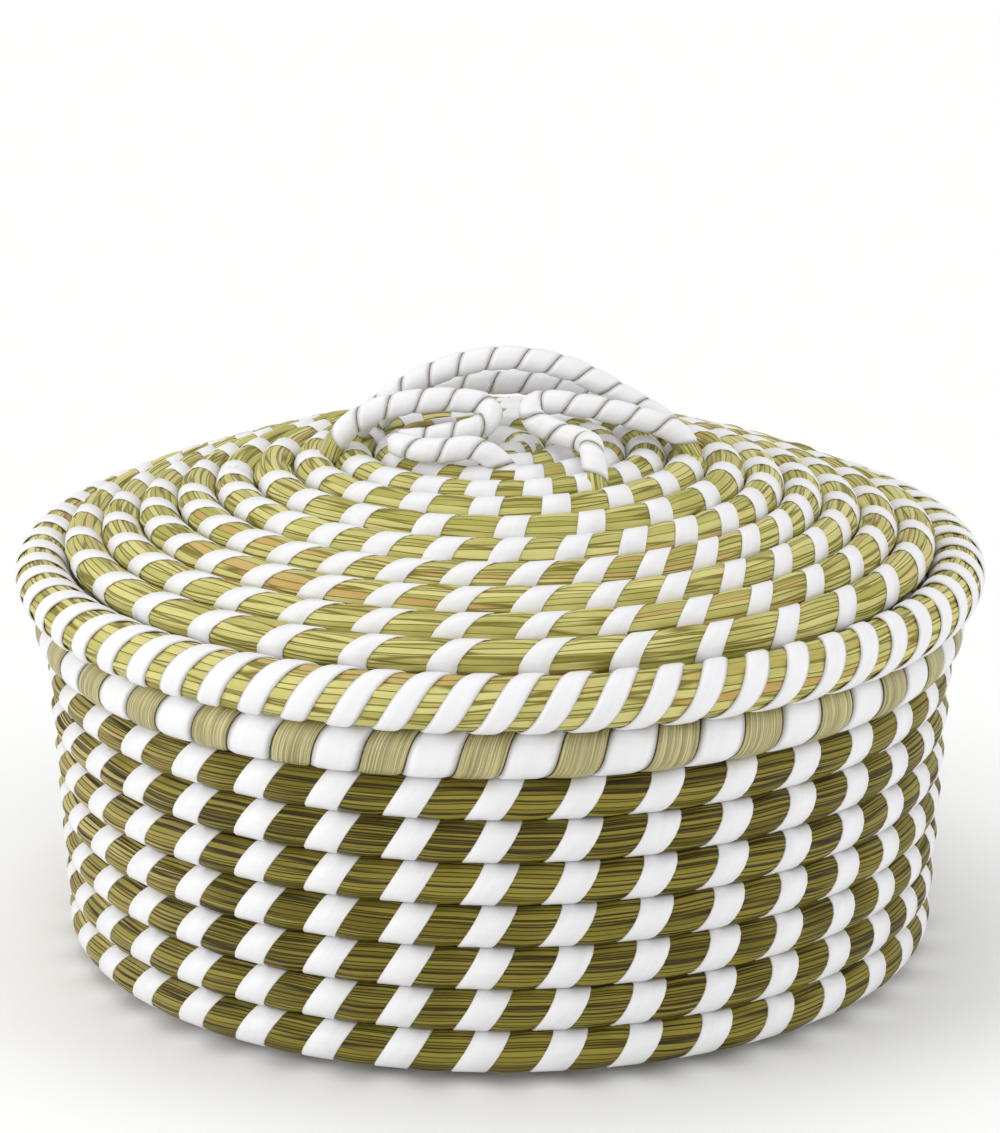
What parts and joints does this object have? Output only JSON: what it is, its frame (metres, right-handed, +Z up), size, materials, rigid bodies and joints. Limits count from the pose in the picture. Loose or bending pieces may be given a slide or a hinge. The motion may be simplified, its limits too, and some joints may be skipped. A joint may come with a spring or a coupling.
{
  "type": "tortilla warmer basket",
  "caption": "Round coiled grass basket with a domed lift-off lid, looped handle, loose cloth liner and quilted insulating pad for keeping flatbreads warm.",
  "frame": {"origin": "centre of the basket's foot on the floor, below the middle of the lid", "axes": "+Z up through the lid, +X to the right and -Y towards the viewer of the picture"},
  "size_m": [0.2914, 0.2914, 0.1818],
  "materials": {
    "olive_grass": "dry plant fibre in a tight bundle",
    "light_grass": "dry yellow-green leaf in a tight bundle",
    "white_strip": "flat satin binding strip",
    "straw_strip": "glossy pale leaf strip",
    "liner_cotton": "plain white cotton",
    "pad_fleece": "short white fleece"
  },
  "bodies": {
    "basket": {"base_coil": "olive_grass", "wall_coil": "olive_grass", "wall_stitches": "white_strip", "rim_coil": "straw_strip", "rim_wraps_white": "white_strip", "rim_wraps_natural": "straw_strip", "liner_side": "liner_cotton", "liner_bottom": "liner_cotton"},
    "lid": {"lid_coil": "light_grass", "lid_stitches": "white_strip", "lid_rim_coil": "light_grass", "lid_rim_wraps": "white_strip", "lid_flange_coil": "light_grass", "handle_arch": "white_strip", "handle_back_strand": "white_strip", "handle_left_loop": "white_strip", "handle_right_loop": "white_strip"},
    "pad": {"pad_upper_cover": "pad_fleece", "pad_lower_cover": "pad_fleece", "pad_edge_roll": "pad_fleece"}
  },
  "joints": [
    {"name": "lid_lift", "type": "slide", "parent": "basket", "child": "lid", "axis": [0, 0, 1], "range_m": [0, 0.1056]},
    {"name": "pad_lift", "type": "slide", "parent": "basket", "child": "pad", "axis": [0, 0, 1], "range_m": [0, 0.075]}
  ],
  "couplings": [
    {"joint": "pad_lift", "follows": "lid_lift", "ratio": 0.71}
  ]
}
